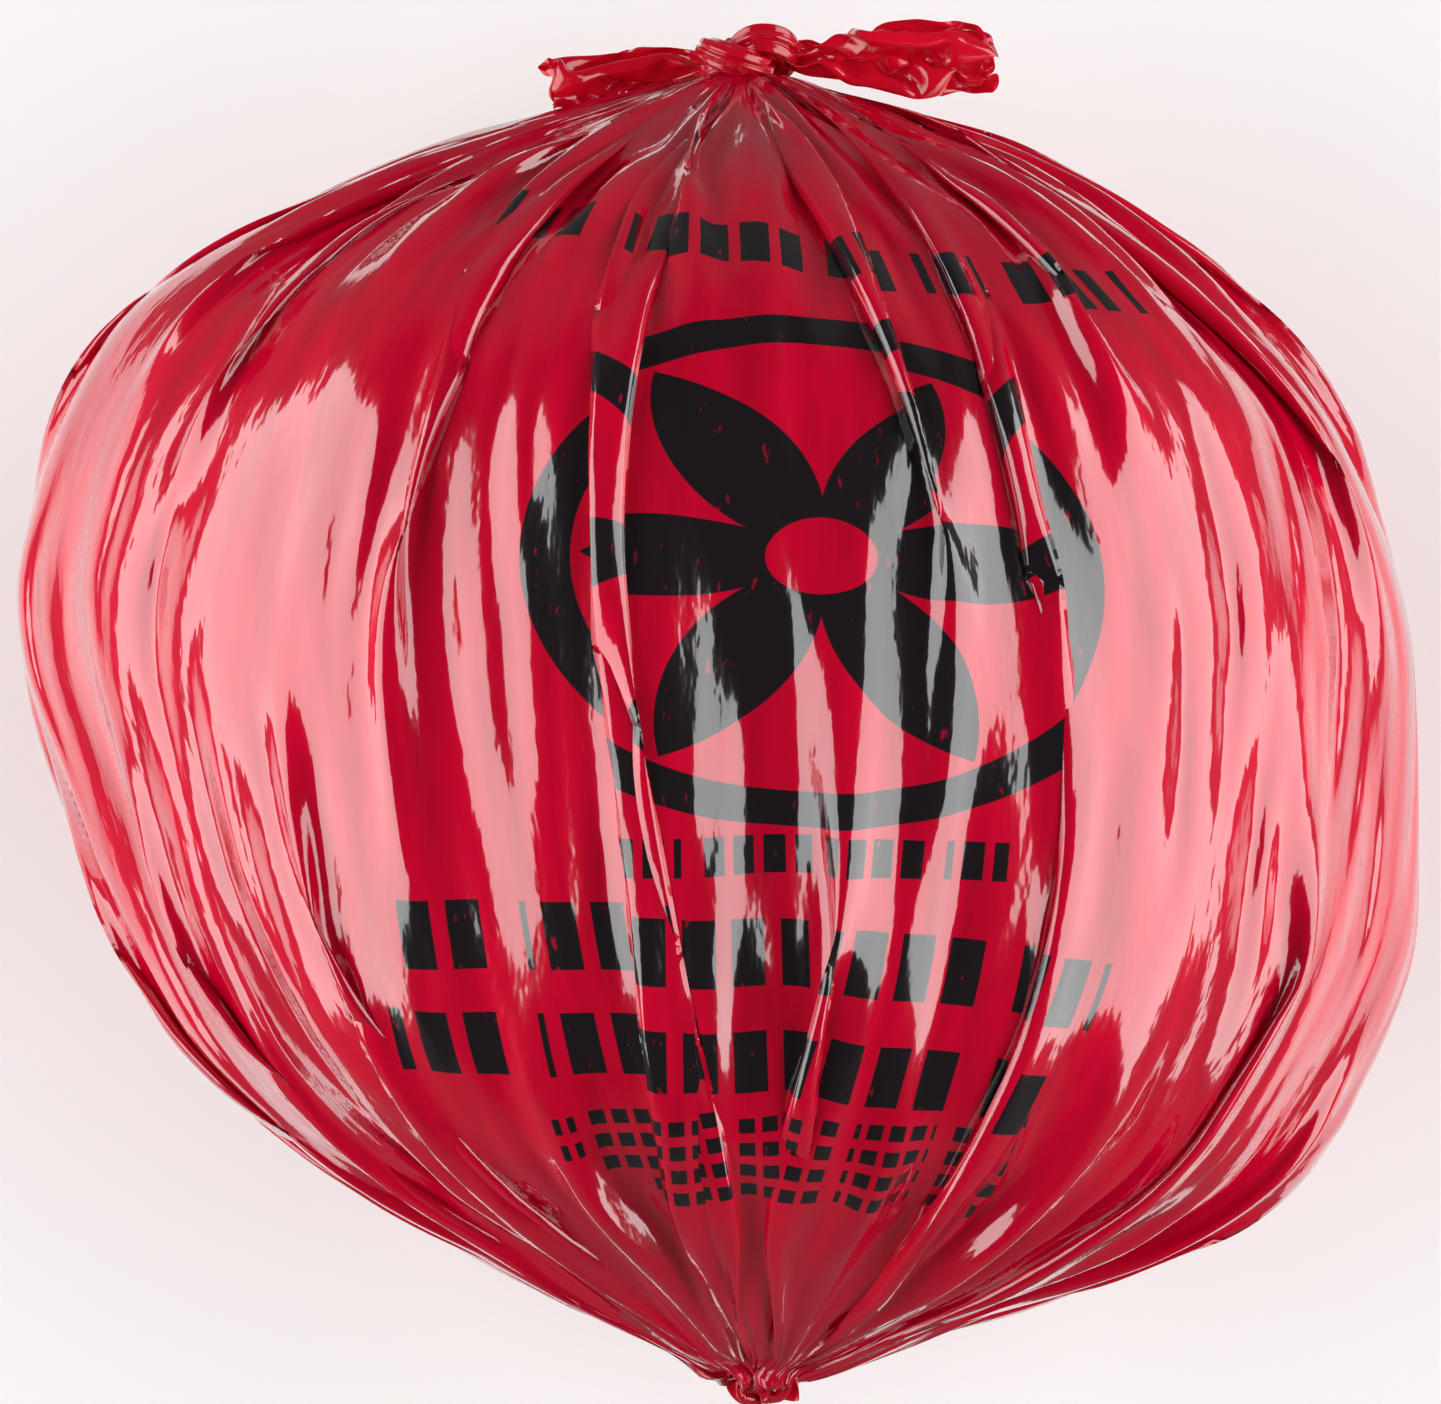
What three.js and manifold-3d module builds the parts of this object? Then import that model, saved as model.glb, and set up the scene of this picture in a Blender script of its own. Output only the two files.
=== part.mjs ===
// A waste bag of thin glossy film, filled, tied by hand and lying on its back on a level floor.
// Millimetres. X runs across the bag, Y from the bottom seal to the knot, and Z up from the floor.
// The film is one piece: the body, its star-shaped bottom seal, the knot and the two tails beside it.
import * as THREE from 'three';
import { mergeVertices } from 'three/addons/utils/BufferGeometryUtils.js';
import Module from 'manifold-3d';

// Driving dimensions of the filled body
const bodyWidth = 431;
const bodyLength = 392;
const bodyHeight = 335;
const underSink = 10; // the round underside would reach this far below the floor, and is flat there

// Pleats of the gathered film, as shares of the distance from the bag's axis
const pleatCount = 18; // an even number closes the pattern
const endPleatDepth = 0.17;
const sidePleatDepth = 0.022;
const pleatReach = 0.36; // share of the bag's length that the deep pleats take at each end
const pleatColumns = 6; // faces across one pleat
const bodyStations = 34;

// Long folds over the whole body: degrees round the bag at its middle, how far they turn from end to end,
// half their width, and their depth as a share of the distance from the bag's axis
const longFolds = [
  { angle: 140, turn: 8, halfWidth: 11, depth: 0.05 },
  { angle: 34, turn: -34, halfWidth: 10, depth: 0.035 },
  { angle: -36, turn: 20, halfWidth: 12, depth: 0.035 },
  { angle: -155, turn: -24, halfWidth: 12, depth: 0.035 },
];

// The overhand knot, and the neck of gathered film that runs into it
const neckRadius = 7;
const neckLength = 20;
const knotRadius = 8.3;
const knotTube = 3.6;
const knotTilt = 0.25;
const knotForward = 5; // from the end of the body to the middle of the knot

// The two tails beside the knot, each a flattened crumpled strip of film with a round open end
const leftTail = { side: -1, reach: 54, rise: -9, sag: 9, halfWidth: 12 };
const rightTail = { side: 1, reach: 77, rise: -2, sag: -5, halfWidth: 13.5 };
const tailHalfThickness = 5;
const tailLean = 0.25;
const tailStart = 0.3; // a tail's width at the knot, as a share of its full width
const tailOpens = [0.1, 0.75]; // shares of its length between which it widens

// The film outside the bottom seal
const fanLength = 4;
const fanDrop = 2;
const fanInside = 14; // how far it reaches into the body
const fanHalfWidth = 13;
const fanHalfThickness = 4;

// The crumpling of the tails and of the film at the seal
const crumpleDepth = 0.16;
const crumpleLobes = 3;
const crumpleTwist = 9;

const material = new THREE.MeshStandardMaterial({ color: 0xb3001b, roughness: 0.25, metalness: 0 });

// A point given as shares: across from the middle in half widths, along from the bottom, up in heights
function bodyPoint([across, along, up]) {
  return new THREE.Vector3((across * bodyWidth) / 2, (along - 0.5) * bodyLength, up * bodyHeight);
}

const sealPoint = [0.05, -0.022, 0.49];
const neckPoint = [0.035, 0.995, 0.48];

// The four long lines of the body, each from the bottom seal to the neck
const leftLine = [
  sealPoint, [-0.158, -0.002, 0.475], [-0.31, 0.042, 0.46], [-0.7, 0.192, 0.445], [-0.84, 0.312, 0.44],
  [-0.957, 0.453, 0.44], [-1, 0.59, 0.44], [-0.938, 0.714, 0.44], [-0.844, 0.81, 0.445], [-0.68, 0.88, 0.45],
  [-0.381, 0.949, 0.46], [-0.155, 0.985, 0.47], neckPoint,
];
const rightLine = [
  sealPoint, [0.2, 0.002, 0.47], [0.568, 0.047, 0.44], [0.81, 0.098, 0.435], [0.934, 0.192, 0.435],
  [0.99, 0.274, 0.44], [1, 0.43, 0.44], [0.988, 0.611, 0.44], [0.926, 0.714, 0.44], [0.809, 0.808, 0.445],
  [0.591, 0.904, 0.45], [0.4, 0.96, 0.46], [0.195, 0.988, 0.47], neckPoint,
];
const crownLine = [
  sealPoint, [0.047, 0.05, 0.675], [0.03, 0.145, 0.84], [0.01, 0.31, 0.965], [0, 0.5, 1],
  [0, 0.7, 0.955], [0.015, 0.85, 0.825], [0.03, 0.945, 0.66], neckPoint,
];
const sink = -underSink / bodyHeight;
const underLine = [
  sealPoint, [0.05, 0, 0.385], [0.043, 0.035, 0.2], [0.03, 0.135, 0.05], [0, 0.3, sink],
  [0, 0.71, sink], [0.023, 0.855, 0.05], [0.03, 0.945, 0.2], [0.035, 0.99, 0.36], neckPoint,
];

function lineCurve(points) {
  return new THREE.CatmullRomCurve3(points.map(bodyPoint), false, 'centripetal');
}

// How deep the film is folded in at an angle round the bag: sharp valleys between round ridges
function pleatValley(angle) {
  const phase = (pleatCount * angle) / 2 + 0.8 * Math.sin(2 * angle + 1.3) + 0.5 * Math.sin(5 * angle + 0.4);
  return (1 - Math.abs(Math.sin(phase))) ** 1.4;
}

// How deep the long folds are at an angle round the bag, in degrees
function longFoldDepth(degrees, share) {
  let deepest = 0;
  for (const { angle, turn, halfWidth, depth } of longFolds) {
    const away = THREE.MathUtils.euclideanModulo(degrees - angle - turn * (share - 0.5) + 180, 360) - 180;
    const rise = Math.min(Math.abs(away) / halfWidth, 1);
    deepest = Math.max(deepest, depth * (1 - rise * rise * (3 - 2 * rise)));
  }
  return deepest;
}

function pleatDepth(share) {
  const fromEnd = Math.min(share, 1 - share);
  const fade = 1 - THREE.MathUtils.smoothstep(fromEnd, 0, pleatReach);
  return sidePleatDepth + (endPleatDepth - sidePleatDepth) * fade * fade;
}

// A closed geometry from rings of equally many points, with the first and last ring closed to a point
function closedFromRings(first, rings, last) {
  const sides = rings[0].length;
  const points = [first, ...rings.flat(), last];
  const faces = [];
  const at = (ring, side) => 1 + ring * sides + (side % sides);
  for (let side = 0; side < sides; side++) {
    faces.push(0, at(0, side), at(0, side + 1));
    faces.push(points.length - 1, at(rings.length - 1, side + 1), at(rings.length - 1, side));
    for (let ring = 0; ring + 1 < rings.length; ring++) {
      const [a, b] = [at(ring, side), at(ring, side + 1)];
      const [c, d] = [at(ring + 1, side + 1), at(ring + 1, side)];
      faces.push(a, c, b, a, d, c);
    }
  }
  const geometry = new THREE.BufferGeometry().setFromPoints(points);
  geometry.setIndex(faces);
  return geometry;
}

const power = (value, exponent) => Math.sign(value) * Math.abs(value) ** exponent;

// The filled body: at each station a squarish round section spans the four long lines
function bodyGeometry() {
  const [left, right, crown, under] = [leftLine, rightLine, crownLine, underLine].map(lineCurve);
  const columns = pleatCount * pleatColumns;
  const rings = [];
  for (let station = 1; station < bodyStations; station++) {
    const even = station / bodyStations;
    const share = even - 0.11 * Math.sin(2 * Math.PI * even); // closer together at the ends
    const [l, r, c, u] = [left, right, crown, under].map((curve) => curve.getPointAt(share));
    const axis = l.clone().add(r).multiplyScalar(0.5);
    const ring = [];
    for (let column = 0; column < columns; column++) {
      const angle = (2 * Math.PI * column) / columns;
      const [cosine, sine] = [Math.cos(angle), Math.sin(angle)];
      const side = (cosine > 0 ? r : l).clone().sub(axis).multiplyScalar(Math.abs(power(cosine, 0.93)));
      const level = (sine > 0 ? c : u).clone().sub(axis).multiplyScalar(Math.abs(power(sine, 0.93)));
      const long = longFoldDepth(THREE.MathUtils.radToDeg(angle), share);
      const inward = 1 - Math.max(pleatDepth(share) * pleatValley(angle), long);
      ring.push(side.add(level).multiplyScalar(inward).add(axis));
    }
    rings.push(ring);
  }
  return closedFromRings(bodyPoint(sealPoint), rings, bodyPoint(neckPoint));
}

// A flattened strip along a smooth path: halfWidth and halfThickness are functions of the share of its length,
// and across is the direction of its width
function stripGeometry(path, across, halfWidth, halfThickness, stations = 12, sides = 14) {
  const curve = new THREE.CatmullRomCurve3(path, false, 'centripetal');
  const rings = [];
  for (let station = 1; station < stations; station++) {
    const share = station / stations;
    const centre = curve.getPointAt(share);
    const along = curve.getTangentAt(share);
    const thick = new THREE.Vector3().crossVectors(across, along).normalize();
    const wide = new THREE.Vector3().crossVectors(along, thick).normalize();
    const ring = [];
    for (let side = 0; side < sides; side++) {
      const angle = (2 * Math.PI * side) / sides;
      const crumple = 1 + crumpleDepth * Math.sin(crumpleLobes * angle + crumpleTwist * share);
      ring.push(
        centre
          .clone()
          .addScaledVector(wide, Math.cos(angle) * halfWidth(share) * crumple)
          .addScaledVector(thick, Math.sin(angle) * halfThickness(share) * crumple),
      );
    }
    rings.push(ring);
  }
  return closedFromRings(path[0], rings, path[path.length - 1]);
}

const neck = bodyPoint(neckPoint);
const seal = bodyPoint(sealPoint);
const acrossBag = new THREE.Vector3(1, 0, 0);
const offset = (from, x, y, z) => new THREE.Vector3(from.x + x, from.y + y, from.z + z);

// The gathered neck, from inside the body to just past the knot
function neckGeometry() {
  const path = [offset(neck, 0, -neckLength / 2, 0), neck, offset(neck, 0, neckLength / 2, 0)];
  const radius = () => neckRadius;
  return stripGeometry(path, acrossBag, radius, radius);
}

// The film goes round and through itself once, as a cord does in an overhand knot
function knotGeometry() {
  const loop = new THREE.TorusKnotGeometry(knotRadius, knotTube, 90, 10, 2, 3);
  loop.rotateX(Math.PI / 2 + knotTilt);
  loop.translate(neck.x, neck.y + knotForward, neck.z);
  return loop;
}

// A tail leaves the knot sideways, gathered, and opens into a crumpled flap beside the shoulder
function tailGeometry({ side, reach, rise, sag, halfWidth }) {
  const path = [0, 0.35, 0.7, 1].map((share) =>
    offset(neck, side * reach * share, knotForward + rise * share ** 2, -sag * Math.sin(Math.PI * share)),
  );
  const lean = new THREE.Vector3(0, 1, tailLean * side);
  const open = (share) => tailStart + (1 - tailStart) * THREE.MathUtils.smoothstep(share, ...tailOpens);
  const roundEnd = (share) => Math.sqrt(1 - share ** 6);
  return stripGeometry(path, lean, (share) => halfWidth * open(share) * roundEnd(share), () => tailHalfThickness);
}

// The bunched film past the bottom seal
function fanGeometry() {
  const path = [offset(seal, 0, fanInside, 0), seal, offset(seal, 3, -fanLength, -fanDrop)];
  const narrowing = (share) => fanHalfWidth * (1 - 0.6 * share);
  return stripGeometry(path, acrossBag, narrowing, () => fanHalfThickness);
}

const wasm = await Module();
wasm.setup();

function solidFrom(geometry) {
  const bare = geometry.clone();
  bare.deleteAttribute('normal');
  bare.deleteAttribute('uv');
  const merged = mergeVertices(bare, 1e-3);
  const mesh = new wasm.Mesh({
    numProp: 3,
    vertProperties: merged.attributes.position.array,
    triVerts: new Uint32Array(merged.index.array),
  });
  return new wasm.Manifold(mesh);
}

function geometryFrom(solid) {
  const { vertProperties, triVerts } = solid.getMesh();
  const geometry = new THREE.BufferGeometry();
  geometry.setAttribute('position', new THREE.BufferAttribute(vertProperties, 3));
  geometry.setIndex(new THREE.BufferAttribute(triVerts, 1));
  geometry.computeVertexNormals();
  return geometry;
}

// The floor takes off all that would reach below it
function belowFloor() {
  const block = new THREE.BoxGeometry(2 * bodyWidth, 2 * bodyLength, bodyHeight);
  block.translate(0, 0, -bodyHeight / 2);
  return block;
}

function bagGeometry() {
  const pieces = [neckGeometry(), knotGeometry(), tailGeometry(leftTail), tailGeometry(rightTail), fanGeometry()];
  let bag = solidFrom(bodyGeometry());
  for (const piece of pieces) bag = bag.add(solidFrom(piece));
  bag = bag.subtract(solidFrom(belowFloor()));
  const geometry = geometryFrom(bag);
  geometry.computeBoundingBox();
  const centre = geometry.boundingBox.getCenter(new THREE.Vector3());
  geometry.translate(-centre.x, -centre.y, 0); // the origin is on the floor under the middle of the bag
  return geometry;
}

const bag = new THREE.Mesh(bagGeometry(), material);
bag.name = 'bag';

const root = new THREE.Group();
root.add(bag);
export default root;
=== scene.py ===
"""A waste bag of thin glossy red film, filled, tied by hand and lying on its back on a pale floor.

The film is simulated: a tube of film drawn together at both ends, lying on its soft filling. The filling has
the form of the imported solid, a little narrower and lower. The knot, the neck under it, its two tails and the
film past the bottom seal are separate pieces. Lengths are in metres.
"""
import math

import bpy
import numpy as np
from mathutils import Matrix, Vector
from mathutils.bvhtree import BVHTree


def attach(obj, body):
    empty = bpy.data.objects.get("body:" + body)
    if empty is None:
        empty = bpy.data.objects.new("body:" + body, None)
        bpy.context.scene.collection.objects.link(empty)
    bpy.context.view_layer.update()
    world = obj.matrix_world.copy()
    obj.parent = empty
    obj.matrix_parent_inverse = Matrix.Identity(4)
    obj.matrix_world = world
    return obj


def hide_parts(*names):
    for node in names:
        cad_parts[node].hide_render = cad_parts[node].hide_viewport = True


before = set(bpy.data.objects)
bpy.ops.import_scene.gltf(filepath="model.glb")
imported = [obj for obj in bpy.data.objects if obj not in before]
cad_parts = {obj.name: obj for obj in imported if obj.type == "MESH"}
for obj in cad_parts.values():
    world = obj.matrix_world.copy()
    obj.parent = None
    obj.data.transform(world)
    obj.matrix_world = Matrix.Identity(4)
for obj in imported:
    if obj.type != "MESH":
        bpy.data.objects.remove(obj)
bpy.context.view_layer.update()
rng = np.random.default_rng(4)
FULL_TURN = 2 * math.pi

# The film: columns run from the bottom seal to the knot, rows go round the bag
FILM_ROUND = 1.22
GATHER = 0.009  # radius of the film where it is drawn together
COLUMNS, ROWS = 512, 192
CENTRE = np.array([0.0, 0.0, 0.155], np.float32)  # every direction is taken from here
SEAL = np.array([0.0125, -0.2045, 0.18])  # where the film is drawn together at the bottom
NECK = np.array([0.0075, 0.194, 0.161])  # and under the knot
FLOOR_GAP = 0.0006

# The filling
FILLING_SHARE = 0.92  # of the solid's width and height, so that the film has slack to fold
SMOOTH_ROUND, SMOOTH_LONG = 14, 4  # times that the filling is smoothed, which takes the solid's pleats away
LUMPS = 0.013  # spread of its lumps, as a share of its reach
LUMP_WAVES, LUMP_LONG_WAVES = range(4, 26), range(3)

# How the film starts and comes to rest
START_FOLDS = 0.012  # spread of the first small folds, as a share of the distance from CENTRE
START_WAVES = range(12, 110, 5)
SETTLE_STEPS = 1500
REACH_STEPS = 8  # steps between two looks at the filling's reach
FOLD_EXCESS = 0.8  # most of the film that goes into folds, as a share of the length round the filling
END_FADE = 0.03  # share of the film's length at each end over which its folds begin
LONG_PULL = 0.985  # the film is drawn tight from end to end
AIR_PUSH = 0.04
AIR_REACH = 0.002  # air pushes on film that is nearer to the filling than this
WEIGHT = 0.3  # of the film, as a share of the air's push
SPEED_KEPT = 0.985  # share kept from step to step
FILLING_GIVE, FILLING_GIVE_AT_ENDS = 0.003, 0.008  # how far the film sinks into the filling freely
FILLING_PUSH = 0.2  # share of what is deeper that is pushed out in a step
SKEW_HOLD = 0.6
BEND_ROUND, BEND_LONG = 0.004, 0.03  # resistance to bending
FLOOR_SLIP = 0.5  # share of its sideways speed that film on the floor keeps

# How its ends are drawn straight and how it is fitted to the solid
END_ZONE = 0.2  # share of the film's length at each end in which the pleats are straight
PUCKER, PUCKER_FADE = 0.02, 0.05  # shares of its length: puckered at the seal, and over which that fades
STRAIGHTEN_TIMES = 70
EVEN_TIMES = 40  # of smoothing, for the even form from which folds are measured
DEEPEN = 0.35  # of the folds, as a share of their depth
RIDGE_SHARE = 1.01  # how far the film's ridges stand out, as a share of the solid's size
FIT_HEIGHTS = np.linspace(0.08, 0.24, 17)  # of the rays that find the solid's width
FIT_LEVELS = np.linspace(-0.165, 0.165, 45)  # places along Y where the widths are compared
FIT_HALF_BAND = 0.005  # of Y, round each place
FIT_BLUR = [0.1, 0.2, 0.4, 0.2, 0.1]

# The knot and the neck under it
KNOT_SHIFT = (0.001, 0.005, 0.0)  # from the end of the film
KNOT_POINTS = 260
KNOT_RADIUS, KNOT_STRAND = 0.0088, 0.0043  # of its loop and of its strand
KNOT_WEAVE = 0.0042  # how far the strand goes to either side
KNOT_WIDER = 1.08
KNOT_FILM = (0.06, 0.12)  # width and length of the film in its strand
NECK_POINTS = 40
NECK_ALONG = (-0.013, -0.004, 0.006)  # from the knot
NECK_RADII = ([0, 0.4, 0.7, 1], [0.0115, 0.0102, 0.0065, 0.0055])  # shares of its length and radii
NECK_FILM = (0.1, 0.02)

# The loose ends: the knot's tails and the seal
END_CELL = 0.0021  # of their grids
CRUMPLE_STEPS = 300
CRUMPLE_NOISE = 0.0008
CRUMPLE_HOLD, CRUMPLE_SKEW_HOLD = 0.9, 0.4
STIFF_FIRST, STIFF_LAST = 0.06, 0.004  # the film's resistance to bending falls by the first to the second
SQUEEZED = 0.9  # a crumpled strip's length, as a share of the flat one's
SMOOTHING = 2  # levels of subdivision

# The print, placed round its rosette's middle
PRINT_AT = (0.275, 0.338)
PRINT_STRETCH = 1.1  # the rosette is this much wider, and this much lower, than a round one
RING_RADIUS, RING_WIDTH = 0.085, 0.012
PETALS = 6
PETAL_LENGTH, PETAL_WIDTH = 0.077, 0.028
PETAL_START = 0.013  # from the rosette's middle
BLOCK_GROUP, BLOCK_GROUP_INK = 4.3, 0.86  # blocks stand in groups of about this many, with gaps between
PRINT_ROWS = [  # middle across, height, half width, half height, pitch, share of ink, fall to the right
    (0.008, 0.11, 0.14, 0.009, 0.011, 0.72, 0.12),
    (-0.003, -0.091, 0.056, 0.006, 0.008, 0.7, 0.0),
    (-0.011, -0.1225, 0.13, 0.011, 0.013, 0.68, 0.07),
    (-0.022, -0.159, 0.127, 0.011, 0.013, 0.68, 0.08),
    (-0.011, -0.183, 0.1, 0.003, 0.006, 0.7, 0.02),
    (-0.011, -0.193, 0.1, 0.003, 0.006, 0.7, 0.02),
    (-0.011, -0.203, 0.09, 0.003, 0.006, 0.7, 0.02),
    (-0.011, -0.213, 0.08, 0.003, 0.006, 0.7, 0.02),
]

# Colours
RED = (0.56, 0.0, 0.024)
# brighter than RED as painted glow: light through the thin film, painted into the colour of the tails, knot
# and neck
TAIL_RED_PAINTED_GLOW = (0.72, 0.003, 0.028)
GLOW_RED = (0.95, 0.01, 0.04)  # light that has come through one layer
INK = (0.012, 0.008, 0.01)
DARK_TINT, DARK_TINT_BLUE, BRIGHT_TINT = 0.82, 0.8, 1.1  # shares of the red

# The floor, the lights and the camera
FLOOR_HALF_WIDTH = 2
FLOOR_HALF_LENGTH = 0.33  # short along the bag, so that its ends don't mirror the floor
FLOOR_GREY, FLOOR_ROUGHNESS = 0.9, 0.6
BOX_DISTANCE, BOX_HEIGHT = 1.0, 0.85
BOX_WIDTH, BOX_DEPTH, BOX_POWER = 2.2, 1.3, 32
SKY_LOW, SKY_HIGH = 0.1, 0.03  # greys at the horizon and overhead
SKY_BEND = 0.22  # height in the sky, up to 1, from which it has the second grey
LENS, SENSOR_WIDTH = 120, 36  # millimetres
SEEN_WIDTH = 0.4467  # of the picture, at the height of the bag's widest section
WIDEST_HEIGHT = 0.15
CAMERA_X, CAMERA_Y = 0.002, 0.001


def smooth_round(values, times):
    """Smooths a closed grid round the bag, along its last axis"""
    for _ in range(times):
        values = (np.roll(values, 1, -1) + 2 * values + np.roll(values, -1, -1)) / 4
    return values


def from_ends(share, reach):
    """0 at both ends of the film, rising to 1 at this share of its length from them"""
    return np.clip(np.minimum(share, 1 - share) / reach, 0, 1)


# The filling


class Filling:
    """How far the soft filling reaches from CENTRE, for every direction. theta is measured from +Y."""

    thetas, phis = 96, 192

    def __init__(self, solid):
        self.theta = np.linspace(0, math.pi, self.thetas)
        self.phi = FULL_TURN * np.arange(self.phis) / self.phis
        reach = self.measured(solid)
        reach[:2] = reach[2].mean()
        reach[-2:] = reach[-3].mean()
        reach = smooth_round(reach, SMOOTH_ROUND)
        for _ in range(SMOOTH_LONG):
            reach[1:-1] = (reach[2:] + 2 * reach[1:-1] + reach[:-2]) / 4
        self.reach = (reach * (1 + self.lumps())).astype(np.float32)

    def measured(self, solid):
        """Reach of the solid, made narrower and lower"""
        slack = Vector((FILLING_SHARE, 1, FILLING_SHARE))
        corners = [v.co * slack for v in solid.data.vertices]
        tree = BVHTree.FromPolygons(corners, [p.vertices for p in solid.data.polygons])
        centre = Vector(CENTRE.tolist())
        reach = np.zeros((self.thetas, self.phis))
        for i, t in enumerate(self.theta):
            for j, p in enumerate(self.phi):
                way = Vector((math.sin(t) * math.cos(p), math.cos(t), math.sin(t) * math.sin(p)))
                reach[i, j] = (tree.ray_cast(centre, way)[0] - centre).length
        return reach

    def lumps(self):
        """Random lumps as shares of the reach, with none at the ends"""
        lumps = np.zeros((self.thetas, self.phis))
        for waves in LUMP_WAVES:
            for long_waves in LUMP_LONG_WAVES:
                phase = waves * self.phi[None] + 2 * long_waves * self.theta[:, None]
                phase += rng.uniform(0, FULL_TURN)
                lumps += rng.normal() * np.cos(phase) / math.sqrt(waves + 3 * long_waves)
        return lumps * (LUMPS / lumps.std() * np.sin(self.theta)[:, None] ** 1.5)

    def at(self, points):
        """Reach in the direction of each point of a (3, rows, columns) array"""
        way = points - CENTRE[:, None, None]
        length = np.sqrt((way**2).sum(0))
        row = np.arccos(np.clip(way[1] / length, -1, 1)) * ((self.thetas - 1) / math.pi)
        column = (np.arctan2(way[2], way[0]) / FULL_TURN) % 1 * self.phis
        r0 = np.minimum(row.astype(int), self.thetas - 2)
        c0 = column.astype(int) % self.phis
        c1 = (c0 + 1) % self.phis
        fr, fc = row - r0, column - np.floor(column)
        left = self.reach[r0, c0] * (1 - fr) + self.reach[r0 + 1, c0] * fr
        right = self.reach[r0, c1] * (1 - fr) + self.reach[r0 + 1, c1] * fr
        return (left * (1 - fc) + right * fc).astype(np.float32)


# The film at the start


def tube_over(filling, share, phi):
    """A tube that lies on the filling and is drawn together at the seal and at the neck"""
    theta = math.pi * (1 - share)[:, None]
    way = np.stack([np.sin(theta) * np.cos(phi), np.cos(theta) + 0 * phi, np.sin(theta) * np.sin(phi)])
    film = CENTRE[:, None, None] + way * filling.at(CENTRE[:, None, None] + 0.1 * way)
    axis = SEAL[:, None] * (1 - share) + NECK[:, None] * share
    axis[2] *= FILLING_SHARE  # fit_outline() brings it to its height
    ring = np.stack([np.cos(phi), 0 * phi, np.sin(phi)])
    tube = axis[:, :, None] + GATHER * ring[:, None, :]
    on_filling = np.clip(np.sin(math.pi * share) * 6, 0, 1)[:, None]
    return tube * (1 - on_filling) + film * on_filling


def spread_evenly(film, share):
    """The film with its rows evenly spaced along each column, and the columns' lengths"""
    steps = np.sqrt(((film[:, 1:] - film[:, :-1]) ** 2).sum(0))
    along = np.concatenate([np.zeros((1, film.shape[2])), np.cumsum(steps, 0)])
    even = np.empty_like(film)
    for column in range(film.shape[2]):
        wanted = share * along[-1, column]
        for axis in range(3):
            even[axis, :, column] = np.interp(wanted, along[:, column], film[axis, :, column])
    return even, along[-1]


def first_folds(share, phi):
    """Random small folds along the film, fading towards both ends"""
    folds = np.zeros((len(share), len(phi)))
    bow, lean = np.sin(math.pi * share)[:, None], np.cos(math.pi * share)[:, None]
    for waves in START_WAVES:
        a, b, c, d = rng.normal(size=4)
        folds += np.cos(waves * phi + 1.5 * a + 2.5 * c * bow + 2 * d * lean) * (0.6 + 0.4 * b)
    return START_FOLDS / folds.std() * folds * np.sqrt(bow)


def start_film(filling):
    """The film spread over the filling, and the filling's lengths: round it for each row of the film, and
    along it for each column. The last column is the first one again."""
    share = np.linspace(0, 1, ROWS)
    phi = FULL_TURN * np.arange(COLUMNS + 1) / COLUMNS
    film, lengths_along = spread_evenly(tube_over(filling, share, phi), share)
    lengths_round = np.sqrt(((film[..., 1:] - film[..., :-1]) ** 2).sum(0)).sum(1)
    film += (film - CENTRE[:, None, None]) * first_folds(share, phi)
    film[2] = np.maximum(film[2], FLOOR_GAP)
    film[..., -1] = film[..., 0]
    return film.astype(np.float32), lengths_round, lengths_along


# The film comes to rest


def hold(a, b, rest, share=1.0):
    """Moves pairs of points to their rest distance"""
    gap = b - a
    length = np.sqrt(gap[0] * gap[0] + gap[1] * gap[1] + gap[2] * gap[2]) + np.float32(1e-9)
    gap *= np.float32(0.5 * share) * (1 - rest / length)
    a += gap
    b -= gap


def hold_round(film, lower, upper, rest, share=1.0):
    """hold() for pairs from one range of rows to another, one column on: first even columns, then odd"""
    last = film.shape[2] - 1
    a, b = film[:, lower], film[:, upper]
    hold(a[..., 0:last:2], b[..., 1::2], rest[:, 0:last:2], share)
    film[..., -1] = film[..., 0]
    hold(a[..., 1::2], b[..., 2::2], rest[:, 1::2], share)
    film[..., 0] = film[..., -1]


def curve_across(points):
    """How much the points curve from column to column"""
    return points[..., :-2] - 2 * points[..., 1:-1] + points[..., 2:]


def curve_along(points):
    """How much the points curve from row to row"""
    return points[:, :-2] - 2 * points[:, 1:-1] + points[:, 2:]


def skew_rests(rest_across, rest_along):
    """Rest lengths of the cells' diagonals"""
    return np.sqrt((0.5 * (rest_across[1:] + rest_across[:-1])) ** 2 + rest_along**2)


def fill_ways(film, round_way, long_way):
    """Differences between each point's neighbours, round the bag and along it"""
    round_way[..., 1:-1] = film[..., 2:] - film[..., :-2]
    round_way[..., 0] = round_way[..., -1] = film[..., 1] - film[..., -2]
    long_way[:, 1:-1] = film[:, 2:] - film[:, :-2]
    long_way[:, 0], long_way[:, -1] = film[:, 1] - film[:, 0], film[:, -1] - film[:, -2]


def keep_lengths(film, rest_round, rest_long, rest_skew, odd_step):
    """Brings the film's cells to their lengths round it, along it and across each cell"""
    hold_round(film, slice(None), slice(None), rest_round)
    hold(film[:, 0:-1:2], film[:, 1::2], rest_long)
    hold(film[:, 1:-1:2], film[:, 2::2], rest_long)
    lower, upper = (slice(0, -1), slice(1, None)) if odd_step else (slice(1, None), slice(0, -1))
    hold_round(film, lower, upper, rest_skew, SKEW_HOLD)


def resist_bending(film):
    """Evens out the film's curves, a little round the bag and more along it"""
    wide = np.concatenate([film[..., -3:-1], film, film[..., 1:3]], 2)
    film -= np.float32(BEND_ROUND) * curve_across(curve_across(wide))
    film[:, 2:-2] -= np.float32(BEND_LONG) * curve_along(curve_along(film))


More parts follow.
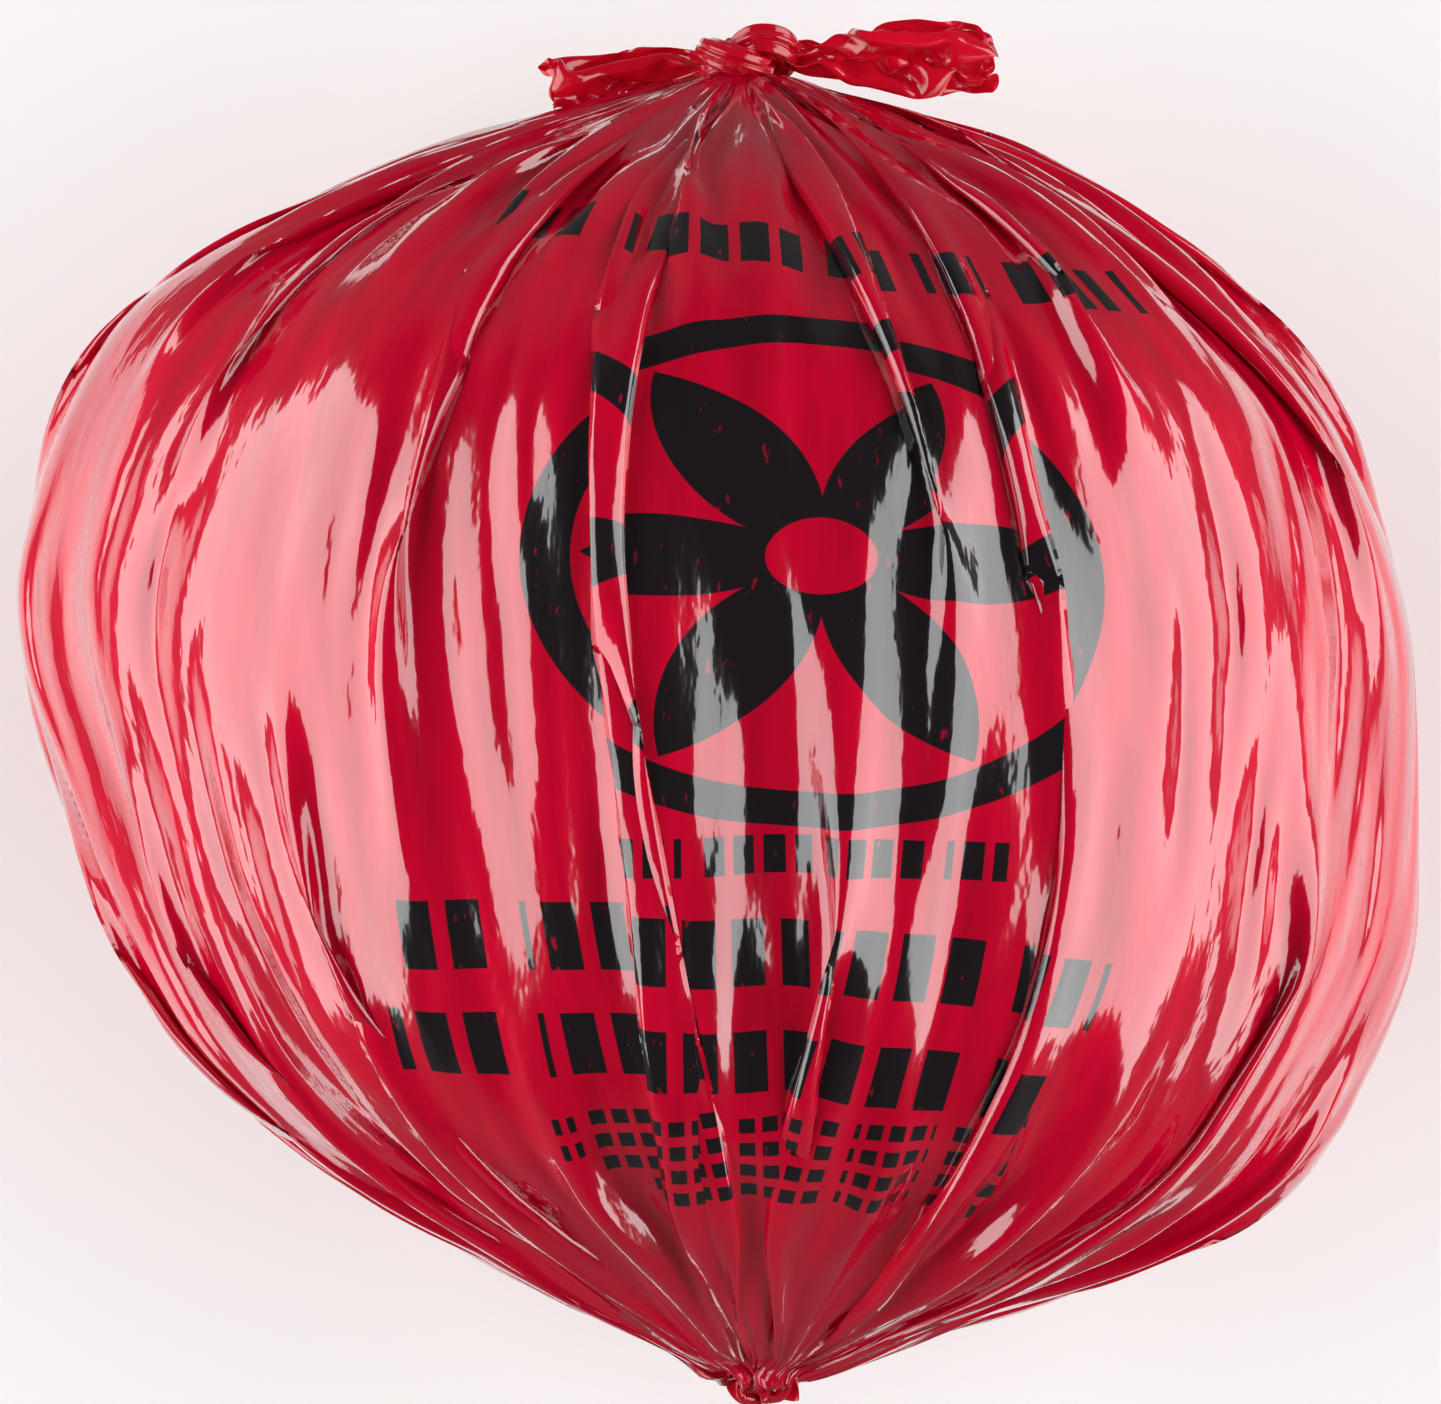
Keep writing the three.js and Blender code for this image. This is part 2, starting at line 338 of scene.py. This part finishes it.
def settle(film, filling, lengths_round, lengths_along):
    """Lets the film come to rest on the filling: its own lengths, a little air, its weight and the floor"""
    share = np.linspace(0, 1, ROWS)
    excess = 1 + FOLD_EXCESS * from_ends(share, END_FADE)
    rest_round = np.minimum(FILM_ROUND, lengths_round * excess)[:, None] / COLUMNS
    rest_round = (rest_round + np.zeros(COLUMNS)).astype(np.float32)
    rest_long = (lengths_along * LONG_PULL / (ROWS - 1)).astype(np.float32)[None]
    rest_skew = skew_rests(rest_round, rest_long[:, :-1])
    ends_give = FILLING_GIVE_AT_ENDS * (1 - np.sin(math.pi * share)) ** 1.5
    give = (FILLING_GIVE + ends_give).astype(np.float32)[:, None]
    cell = FILM_ROUND / COLUMNS
    push = np.float32(AIR_PUSH * cell**2)
    area = np.float32(4 * cell * rest_long.mean())
    first, last = film[:, 0].copy(), film[:, -1].copy()
    speed = np.zeros_like(film)
    round_way, long_way = np.empty_like(film), np.empty_like(film)
    for step in range(SETTLE_STEPS):
        if step % REACH_STEPS == 0:
            reach = filling.at(film)
        fill_ways(film, round_way, long_way)
        out = film - CENTRE[:, None, None]
        distance = np.sqrt(out[0] ** 2 + out[1] ** 2 + out[2] ** 2)
        out /= distance
        distance -= reach
        air = np.clip(1 - distance / np.float32(AIR_REACH), 0, 1) * (push / area)
        for k in range(3):
            m, n = (k + 1) % 3, (k + 2) % 3
            speed[k] += air * (long_way[m] * round_way[n] - long_way[n] * round_way[m])
        speed[2] -= push * np.float32(WEIGHT)
        speed *= np.float32(SPEED_KEPT)
        before = film.copy()
        film += speed
        film += out * (np.maximum(-distance - give, 0) * np.float32(FILLING_PUSH))
        keep_lengths(film, rest_round, rest_long, rest_skew, step % 2)
        resist_bending(film)
        np.maximum(film[2], np.float32(FLOOR_GAP), out=film[2])
        film[:, 0], film[:, -1] = first, last
        speed = film - before
        speed[:2] *= np.where(film[2] < 2 * FLOOR_GAP, np.float32(FLOOR_SLIP), np.float32(1))


def straighten(film):
    """Draws the pleats straight towards both ends and deepens them there, but not in the seal's pucker"""
    share = np.linspace(0, 1, ROWS)
    past_pucker = np.clip((share - PUCKER) / PUCKER_FADE, 0, 1)
    zone = ((1 - from_ends(share, END_ZONE)) * past_pucker).astype(np.float32)[:, None]
    for _ in range(STRAIGHTEN_TIMES):
        film[:, 1:-1] += 0.25 * zone[1:-1] * (film[:, 2:] - 2 * film[:, 1:-1] + film[:, :-2])
    folds = film[..., :-1] - smooth_round(film[..., :-1], EVEN_TIMES)
    film[..., :-1] += DEEPEN * zone * from_ends(share, END_FADE)[:, None] * folds
    film[..., -1] = film[..., 0]
    np.maximum(film[2], FLOOR_GAP, out=film[2])


def half_width(tree, side, y):
    """How far the solid reaches to one side at y, from rays at several heights. One that misses finds 0."""
    return max(1 - (tree.ray_cast((side, y, z), (-side, 0, 0))[3] or 1) for z in FIT_HEIGHTS)


def fit_outline(film, solid):
    """Scales the film smoothly to the solid's outline from above and its height, with its ridges proud"""
    faces = [p.vertices for p in solid.data.polygons]
    tree = BVHTree.FromPolygons([v.co for v in solid.data.vertices], faces)
    shares = []
    for side in (-1, 1):
        wanted = np.array([half_width(tree, side, y) for y in FIT_LEVELS])
        widths = [(side * film[0][np.abs(film[1] - y) < FIT_HALF_BAND]).max() for y in FIT_LEVELS]
        share = np.pad(RIDGE_SHARE * wanted / np.array(widths), 2, "edge")
        shares.append(np.convolve(share, FIT_BLUR, "valid"))
    left, right = (np.interp(film[1], FIT_LEVELS, share) for share in shares)
    film[0] *= np.where(film[0] < 0, left, right)
    film[2] *= RIDGE_SHARE * max(v.co.z for v in solid.data.vertices) / film[2].max()


# Ropes and crumpled strips of film


def smooth_path(points, count):
    """Points evenly along a smooth line through the given ones"""
    points = np.array(points, float)
    ends = np.vstack([2 * points[0] - points[1], points, 2 * points[-1] - points[-2]])
    line = []
    for k in range(len(points) - 1):
        a, b, c, d = ends[k : k + 4]
        for t in np.linspace(0, 1, 24, endpoint=False):
            bend = 2 * b + (c - a) * t + (2 * a - 5 * b + 4 * c - d) * t**2 + (3 * b - a - 3 * c + d) * t**3
            line.append(bend / 2)
    line = np.array(line + [points[-1]])
    along = np.concatenate([[0], np.cumsum(np.linalg.norm(np.diff(line, axis=0), axis=1))])
    at = np.linspace(0, along[-1], count)
    return np.stack([np.interp(at, along, line[:, k]) for k in range(3)], 1)


def sides_along(tangent):
    """A direction square to each tangent, carried along the line without twist"""
    side = np.cross(tangent[0], [0.3, 0.2, 1.0])
    sides = []
    for way in tangent:
        side = side - way * side.dot(way)
        side /= np.linalg.norm(side)
        sides.append(side)
    return np.array(sides)


def rope(line, radii, flutes, depth, twist, sides, closed):
    """Film gathered into a fluted rope along a line: a grid of points, one row for each point of the line"""
    if closed:
        tangent = np.roll(line, -1, 0) - np.roll(line, 1, 0)
    else:
        tangent = np.gradient(line, axis=0)
    tangent /= np.linalg.norm(tangent, axis=1)[:, None]
    across = sides_along(tangent)
    up = np.cross(tangent, across)
    angle = FULL_TURN * np.arange(sides) / sides
    share = np.linspace(0, 1, len(line))[:, None]
    if closed:  # the last row has to meet the first
        drift = math.atan2(across[-1].dot(up[0]), across[-1].dot(across[0]))
        angle = angle - drift * share
    wander = 0.9 * np.sin(FULL_TURN * 2 * share) + 0.6 * np.sin(FULL_TURN * 5 * share + 1.0)
    wave = np.sin(flutes * angle + FULL_TURN * twist * share + wander)
    wave = wave + 0.5 * np.sin((2 * flutes + 1) * angle - FULL_TURN * twist * share)
    reach = radii[:, None] * (1 - depth * (0.5 - 0.5 * wave / 1.5) ** 1.5)
    ring = np.cos(angle)[..., None] * across[:, None] + np.sin(angle)[..., None] * up[:, None]
    return line[:, None] + reach[..., None] * ring


def pleated(width, length, half_width, half_thick, pleats, free):
    """A strip of film at the start, in wavy pleats. free is 0 where it is gathered and 1 where it opens."""
    rows = len(half_width)
    share = np.linspace(0, 1, rows)
    place = np.linspace(0, 1, int(width / (length / (rows - 1))))
    a, b, c = rng.uniform(0, 6, 3)
    drift = free * (1.8 * np.sin(4 * place + a) + 1.2 * np.sin(8 * share[:, None] + 3 * place + b))
    phase = FULL_TURN * pleats * place + drift
    spread = 1 + 0.12 * np.sin(9 * share[:, None] + 5 * place + c)
    height = 0.6 + 0.4 * np.sin(7 * place + 5 * share[:, None] + b)
    strip = np.stack(
        [
            half_width[:, None] * (2 * place - 1) * spread,
            (share * length * SQUEEZED)[:, None] * (1 + 0.04 * np.sin(11 * place + a)),
            half_thick[:, None] * np.sin(phase) * height,
        ]
    )
    strip += rng.normal(0, CRUMPLE_NOISE, strip.shape) * free
    return strip.astype(np.float32)


def crumpled(width, length, half_width, half_thick, pleats):
    """A strip of film gathered at one end and squeezed into a flat space: x across, y along, z its thickness.

    half_width and half_thick are arrays of the space's measures, one value for each row."""
    rows = len(half_width)
    free = np.clip((np.linspace(0, 1, rows) - 0.1) / 0.5, 0, 1)[:, None]
    strip = pleated(width, length, half_width, half_thick, pleats, free)
    columns = strip.shape[2]
    gathered = 0.4 + 0.6 * free
    rest_across = (width / (columns - 1) * gathered + np.zeros(columns - 1)).astype(np.float32)
    rest_along = np.float32(length / (rows - 1))
    rest_skew = skew_rests(rest_across, rest_along)
    start = strip[:, :2].copy()
    for step in range(CRUMPLE_STEPS):
        stiff = np.float32(STIFF_FIRST * (1 - step / CRUMPLE_STEPS) + STIFF_LAST)
        for first in (0, 1):
            across, skew = rest_across[:, first::2], rest_skew[:, first::2]
            hold(strip[..., first:-1:2], strip[..., first + 1 :: 2], across, CRUMPLE_HOLD)
            hold(strip[:, first:-1:2], strip[:, first + 1 :: 2], rest_along, CRUMPLE_HOLD)
            hold(strip[:, :-1, first:-1:2], strip[:, 1:, first + 1 :: 2], skew, CRUMPLE_SKEW_HOLD)
            hold(strip[:, 1:, first:-1:2], strip[:, :-1, first + 1 :: 2], skew, CRUMPLE_SKEW_HOLD)
        strip[..., 2:-2] -= stiff * curve_across(curve_across(strip))
        strip[:, 2:-2] -= stiff * curve_along(curve_along(strip))
        strip[0] = np.clip(strip[0], -half_width[:, None], half_width[:, None])
        strip[2] = np.clip(strip[2], -half_thick[:, None], half_thick[:, None])
        strip[1] = np.minimum(strip[1], length * SQUEEZED)
        strip[:, :2] = start
    return strip


def along_path(strip, path, wide_way, length):
    """Bends a crumpled strip along a smooth path. wide_way is the direction of its width."""
    line = smooth_path(path, 60)
    tangent = np.gradient(line, axis=0)
    tangent /= np.linalg.norm(tangent, axis=1)[:, None]
    wide = np.array(wide_way) - tangent * (tangent @ np.array(wide_way))[:, None]
    wide /= np.linalg.norm(wide, axis=1)[:, None]
    thick = np.cross(wide, tangent)
    at = np.clip(strip[1] / length, 0, 1) * (len(line) - 1)

    def value(rows):
        return np.stack([np.interp(at, np.arange(len(line)), rows[:, k]) for k in range(3)], -1)

    return value(line) + value(wide) * strip[0][..., None] + value(thick) * strip[2][..., None]


# Materials


class FilmNodes:
    """Short names for the nodes of one film material. The film's UVs are metres."""

    def __init__(self, material):
        self.nodes, self.links = material.node_tree.nodes, material.node_tree.links
        uv = self.nodes.new("ShaderNodeUVMap")
        uv.uv_map = "film"
        self.uv = uv.outputs[0]

    def do(self, operation, *values, clamp=False):
        node = self.nodes.new("ShaderNodeMath")
        node.operation = operation
        node.use_clamp = clamp
        for socket, value in zip(node.inputs, values):
            if isinstance(value, (int, float)):
                socket.default_value = value
            else:
                self.links.new(value, socket)
        return node.outputs[0]

    def length(self, across, up):
        return self.do("SQRT", self.do("ADD", self.do("POWER", across, 2.0), self.do("POWER", up, 2.0)))

    def inside(self, distance, soft=0.0003):
        """1 where a distance is below 0, and 0 outside, with a soft edge"""
        return self.do("MULTIPLY_ADD", distance, -1 / soft, 0.5, clamp=True)

    def band(self, value, middle, half):
        """1 where a value is within half of the middle"""
        return self.inside(self.do("SUBTRACT", self.do("ABSOLUTE", self.do("SUBTRACT", value, middle)), half))

    def blocks(self, across, pitch, share):
        """A row of plain blocks: 1 for this share of every pitch"""
        place = self.do("MULTIPLY", self.do("FRACT", self.do("DIVIDE", across, pitch)), pitch)
        return self.band(place, pitch / 2, pitch * share / 2)

    def noise(self, scale, detail, ridged=False):
        """Noise that is stretched along the film: scale is its frequency round the bag and along it"""
        mapping = self.nodes.new("ShaderNodeMapping")
        mapping.inputs["Scale"].default_value = (*scale, 1)
        self.links.new(self.uv, mapping.inputs["Vector"])
        noise = self.nodes.new("ShaderNodeTexNoise")
        noise.inputs["Scale"].default_value = 1
        noise.inputs["Detail"].default_value = detail
        if ridged:
            noise.noise_type = "RIDGED_MULTIFRACTAL"
            noise.normalize = True
        self.links.new(mapping.outputs[0], noise.inputs["Vector"])
        return noise.outputs["Fac"]

    def bump(self, height, strength, distance):
        bump = self.nodes.new("ShaderNodeBump")
        bump.inputs["Strength"].default_value = strength
        bump.inputs["Distance"].default_value = distance
        self.links.new(height, bump.inputs["Height"])
        return bump


def rosette(film_nodes, across, up):
    """A plain rosette of petals in a ring"""
    wide = film_nodes.do("MULTIPLY", across, 1 / PRINT_STRETCH)
    tall = film_nodes.do("MULTIPLY", up, PRINT_STRETCH)
    radius = film_nodes.length(wide, tall)
    ring = film_nodes.band(radius, RING_RADIUS, RING_WIDTH / 2)
    angle = film_nodes.do("ARCTAN2", tall, wide)
    folded = film_nodes.do("PINGPONG", angle, math.pi / PETALS)  # from a petal's middle line to its edge
    along = film_nodes.do("MULTIPLY", radius, film_nodes.do("COSINE", folded))
    aside = film_nodes.do("MULTIPLY", radius, film_nodes.do("SINE", folded))
    arc_radius = (PETAL_LENGTH**2 + PETAL_WIDTH**2) / (4 * PETAL_WIDTH)
    arc = film_nodes.length(
        film_nodes.do("SUBTRACT", along, PETAL_LENGTH / 2),
        film_nodes.do("ADD", aside, arc_radius - PETAL_WIDTH / 2),
    )
    petal = film_nodes.inside(film_nodes.do("SUBTRACT", arc, arc_radius))
    past_start = film_nodes.inside(film_nodes.do("SUBTRACT", PETAL_START, radius))
    return film_nodes.do("MAXIMUM", ring, film_nodes.do("MULTIPLY", petal, past_start))


def ink_mask(film_nodes):
    """1 where the film is printed: the rosette, with rows of blocks above and below it"""
    parts = film_nodes.nodes.new("ShaderNodeSeparateXYZ")
    film_nodes.links.new(film_nodes.uv, parts.inputs[0])
    across = film_nodes.do("SUBTRACT", PRINT_AT[0], parts.outputs["X"])
    up = film_nodes.do("SUBTRACT", parts.outputs["Y"], PRINT_AT[1])
    mask = rosette(film_nodes, across, up)
    for middle, level, half_wide, half_high, pitch, share, fall in PRINT_ROWS:
        shifted = film_nodes.do("SUBTRACT", across, middle)
        lowered = film_nodes.do("MULTIPLY_ADD", shifted, fall, up)
        within_height = film_nodes.band(lowered, level, half_high)
        row = film_nodes.do("MULTIPLY", within_height, film_nodes.band(shifted, 0.0, half_wide))
        row = film_nodes.do("MULTIPLY", row, film_nodes.blocks(across, pitch, share))
        groups = film_nodes.blocks(across, BLOCK_GROUP * pitch, BLOCK_GROUP_INK)
        mask = film_nodes.do("MAXIMUM", mask, film_nodes.do("MULTIPLY", row, groups))
    return mask


def tinted(film_nodes, red):
    """The film's red, a little darker and brighter in streaks along the film"""
    tint = film_nodes.nodes.new("ShaderNodeValToRGB")
    dark, bright = tint.color_ramp.elements
    dark.position = 0.35
    dark.color = (red[0] * DARK_TINT, red[1], red[2] * DARK_TINT_BLUE, 1)
    bright.position = 0.65
    bright.color = (red[0] * BRIGHT_TINT, red[1], red[2] * BRIGHT_TINT, 1)
    film_nodes.links.new(film_nodes.noise((90, 12), detail=3), tint.inputs["Fac"])
    return tint.outputs[0]


def printed(film_nodes, colour):
    """Puts slightly worn ink over a colour"""
    worn = film_nodes.do("MULTIPLY_ADD", film_nodes.noise((420, 120), detail=4), -7.0, 5.6, clamp=True)
    mix = film_nodes.nodes.new("ShaderNodeMix")
    mix.data_type = "RGBA"
    film_nodes.links.new(film_nodes.do("MULTIPLY", ink_mask(film_nodes), worn), mix.inputs["Factor"])
    film_nodes.links.new(colour, mix.inputs["A"])
    mix.inputs["B"].default_value = (*INK, 1)
    return mix.outputs["Result"]


def creased(film_nodes, shader):
    """Long sharp creases with fine ones on them, in the film and in its gloss"""
    long_creases = film_nodes.noise((62, 10), detail=1, ridged=True)
    coarse = film_nodes.bump(long_creases, strength=1.0, distance=0.0055)
    fine = film_nodes.bump(film_nodes.noise((210, 60), detail=2), strength=0.35, distance=0.0008)
    film_nodes.links.new(coarse.outputs[0], fine.inputs["Normal"])
    film_nodes.links.new(fine.outputs[0], shader.inputs["Normal"])
    film_nodes.links.new(fine.outputs[0], shader.inputs["Coat Normal"])


def film_material(name, red, with_print, see_through=0.0):
    """Glossy creased red film. see_through is the share of light that a single layer lets through."""
    material = bpy.data.materials.new(name)
    material.use_nodes = True
    nodes, links = material.node_tree.nodes, material.node_tree.links
    shader = nodes["Principled BSDF"]
    shader.inputs["Roughness"].default_value = 0.13
    shader.inputs["IOR"].default_value = 1.52
    shader.inputs["Coat Weight"].default_value = 1.0
    shader.inputs["Coat Roughness"].default_value = 0.05
    shader.inputs["Coat IOR"].default_value = 1.5
    film_nodes = FilmNodes(material)
    colour = tinted(film_nodes, red)
    if with_print:
        colour = printed(film_nodes, colour)
    links.new(colour, shader.inputs["Base Color"])
    creased(film_nodes, shader)
    if see_through:
        glow = nodes.new("ShaderNodeBsdfTranslucent")
        glow.inputs["Color"].default_value = (*GLOW_RED, 1)
        both = nodes.new("ShaderNodeMixShader")
        both.inputs["Fac"].default_value = see_through
        links.new(shader.outputs[0], both.inputs[1])
        links.new(glow.outputs[0], both.inputs[2])
        links.new(both.outputs[0], nodes["Material Output"].inputs["Surface"])
    return material


body_film = film_material("red_film_printed", RED, with_print=True)
# tails, knot and neck: a brighter red with painted glow, plus a real translucent share of light through the
# film
tail_film = film_material("red_film_plain", TAIL_RED_PAINTED_GLOW, with_print=False, see_through=0.3)

# The bag's pieces


def make_piece(name, points, film_size, material, closed=True, ring=False):
    """A smooth mesh piece on the bag from a (rows, columns, 3) grid of points.

    film_size is the film's width and length, for the UVs. A closed grid joins its last column to its first,
    and a ring its last row to its first."""
    rows, columns = points.shape[:2]
    cells_along = rows if ring else rows - 1
    cells_across = columns if closed else columns - 1
    j, i = np.meshgrid(np.arange(cells_along), np.arange(cells_across), indexing="ij")
    here, there = j * columns + i, j * columns + (i + 1) % columns
    faces = np.stack([here, there, there + columns, here + columns], -1).reshape(-1, 4) % (rows * columns)
    u = np.stack([i, i + 1, i + 1, i], -1) * (film_size[0] / cells_across)
    v = np.stack([j, j, j + 1, j + 1], -1) * (film_size[1] / cells_along)
    mesh = bpy.data.meshes.new(name)
    mesh.from_pydata(points.reshape(-1, 3).tolist(), [], faces.tolist())
    layer = mesh.uv_layers.new(name="film")
    layer.data.foreach_set("uv", np.stack([u, v], -1).reshape(-1).astype(np.float32))
    mesh.shade_smooth()
    mesh.materials.append(material)
    piece = bpy.data.objects.new(name, mesh)
    bpy.context.scene.collection.objects.link(piece)
    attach(piece, "root")
    return piece


def make_film():
    """The body's film, which takes the place of the solid. Returns its grid of points."""
    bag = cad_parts["bag"]
    filling = Filling(bag)
    film, lengths_round, lengths_along = start_film(filling)
    settle(film, filling, lengths_round, lengths_along)
    straighten(film)
    fit_outline(film, bag)
    points = np.moveaxis(film[..., :-1], 0, -1)
    body = make_piece("film", points, (FILM_ROUND, float(lengths_along.mean())), body_film)
    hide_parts("bag")
    return film


def make_knot(place):
    """The knot: one strand that goes round twice and weaves over and under itself"""
    turn = 2 * FULL_TURN * np.arange(KNOT_POINTS) / KNOT_POINTS
    radius = KNOT_RADIUS + KNOT_WEAVE * np.cos(1.5 * turn)
    forward = KNOT_WEAVE * np.sin(1.5 * turn) + 0.001 * np.cos(turn)
    line = np.stack([radius * np.cos(turn) * KNOT_WIDER, forward, radius * np.sin(turn)], 1)
    radii = KNOT_STRAND * (1 + 0.16 * np.sin(turn + 1) + 0.1 * np.sin(2.5 * turn))
    points = rope(place + line, radii, flutes=6, depth=0.4, twist=3, sides=64, closed=True)
    knot = make_piece("knot", points, KNOT_FILM, tail_film, ring=True)


def make_neck(place):
    """The film gathered into pleats just before the knot"""
    line = smooth_path([place + (0, forward, 0) for forward in NECK_ALONG], NECK_POINTS)
    radii = np.interp(np.linspace(0, 1, NECK_POINTS), *NECK_RADII)
    points = rope(line, radii, flutes=11, depth=0.35, twist=0.4, sides=96, closed=False)
    neck = make_piece("neck", points, NECK_FILM, tail_film)


def loose_end(name, path, wide_way, length, width, half_widths, half_thicks, pleats):
    """A crumpled strip of film along a path.

    half_widths and half_thicks are pairs of lists: shares of its length, and the values there."""
    share = np.linspace(0, 1, int(length / END_CELL))
    strip = crumpled(width, length, np.interp(share, *half_widths), np.interp(share, *half_thicks), pleats)
    points = along_path(strip, path, wide_way, length * SQUEEZED)
    piece = make_piece(name, points, (width, length), tail_film, closed=False)
    rounding = piece.modifiers.new("rounding", "SUBSURF")
    rounding.levels = rounding.render_levels = SMOOTHING


def tail_path(knot_place, side, reach, rise, sag):
    """From the knot to one side. rise is along +Y at the tail's end, and sag down at its middle."""
    return [
        knot_place + (side * reach * share, rise * share**2, -sag * math.sin(math.pi * share))
        for share in (0.04, 0.35, 0.7, 1.0)
    ]


def make_tails(place):
    loose_end(
        "tail_right",
        tail_path(place, 1, reach=0.078, rise=-0.002, sag=-0.005),
        wide_way=(0, 1, 0.25),
        length=0.1,
        width=0.07,
        half_widths=([0, 0.1, 0.45, 0.75, 1], [0.004, 0.004, 0.009, 0.0135, 0.011]),
        half_thicks=([0, 0.3, 1], [0.003, 0.004, 0.006]),
        pleats=2.5,
    )
    loose_end(
        "tail_left",
        tail_path(place, -1, reach=0.06, rise=-0.009, sag=0.009),
        wide_way=(0, 1, -0.25),
        length=0.075,
        width=0.06,
        half_widths=([0, 0.1, 0.5, 0.85, 1], [0.004, 0.004, 0.009, 0.011, 0.008]),
        half_thicks=([0, 0.3, 1], [0.003, 0.004, 0.005]),
        pleats=2.5,
    )


def make_seal(place):
    """The bunched film past the bottom seal"""
    steps = ((-0.001, 0.012, 0.004), (0, 0.003, 0.004), (0.001, -0.003, 0), (0.002, -0.007, -0.008))
    loose_end(
        "seal",
        [place + step for step in steps],
        wide_way=(1, 0, 0),
        length=0.036,
        width=0.085,
        half_widths=([0, 0.4, 0.7, 1], [0.008, 0.012, 0.011, 0.005]),
        half_thicks=([0, 0.4, 1], [0.007, 0.006, 0.003]),
        pleats=5,
    )


film = make_film()
knot_place = film[:, -1].mean(1) + KNOT_SHIFT
make_knot(knot_place)
make_neck(knot_place)
make_tails(knot_place)
make_seal(film[:, 0].mean(1))

# The floor, the lights and the camera


def make_floor():
    material = bpy.data.materials.new("floor")
    material.use_nodes = True
    shader = material.node_tree.nodes["Principled BSDF"]
    shader.inputs["Base Color"].default_value = (FLOOR_GREY, FLOOR_GREY, FLOOR_GREY, 1)
    shader.inputs["Roughness"].default_value = FLOOR_ROUGHNESS
    x, y = FLOOR_HALF_WIDTH, FLOOR_HALF_LENGTH
    mesh = bpy.data.meshes.new("floor")
    mesh.from_pydata([(-x, -y, 0), (x, -y, 0), (x, y, 0), (-x, y, 0)], [], [(0, 1, 2, 3)])
    mesh.materials.append(material)
    floor = bpy.data.objects.new("floor", mesh)
    bpy.context.scene.collection.objects.link(floor)


def make_softbox(name, side):
    """A wide light beside and above the bag, facing straight across"""
    light = bpy.data.lights.new(name, "AREA")
    light.shape = "RECTANGLE"
    light.size, light.size_y = BOX_WIDTH, BOX_DEPTH
    light.energy = BOX_POWER
    lamp = bpy.data.objects.new(name, light)
    lamp.location = (side * BOX_DISTANCE, 0, BOX_HEIGHT)
    lamp.rotation_euler = Vector((-side, 0, 0)).to_track_quat("-Z", "Y").to_euler()
    bpy.context.scene.collection.objects.link(lamp)


def make_sky():
    """A dim sky, darker overhead than at the horizon"""
    world = bpy.data.worlds.new("studio")
    world.use_nodes = True
    nodes, links = world.node_tree.nodes, world.node_tree.links
    way = nodes.new("ShaderNodeTexCoord")
    parts = nodes.new("ShaderNodeSeparateXYZ")
    links.new(way.outputs["Generated"], parts.inputs[0])
    sky = nodes.new("ShaderNodeValToRGB")
    low, high = sky.color_ramp.elements
    low.position = 0.0
    low.color = (SKY_LOW, SKY_LOW, SKY_LOW, 1)
    high.position = SKY_BEND
    high.color = (SKY_HIGH, SKY_HIGH, SKY_HIGH, 1)
    links.new(parts.outputs["Z"], sky.inputs["Fac"])
    links.new(sky.outputs[0], nodes["Background"].inputs["Color"])
    bpy.context.scene.world = world


def make_camera():
    """Straight above the bag, with the photo's width in view"""
    camera_data = bpy.data.cameras.new("camera")
    camera_data.lens = LENS
    camera_data.sensor_width = SENSOR_WIDTH
    camera = bpy.data.objects.new("camera", camera_data)
    camera.location = (CAMERA_X, CAMERA_Y, WIDEST_HEIGHT + SEEN_WIDTH * LENS / SENSOR_WIDTH)
    camera.rotation_euler = (0, 0, 0)
    bpy.context.scene.collection.objects.link(camera)
    bpy.context.scene.camera = camera


make_floor()
make_softbox("left", -1)
make_softbox("right", 1)
make_sky()
bpy.context.scene.view_settings.view_transform = "Standard"
make_camera()
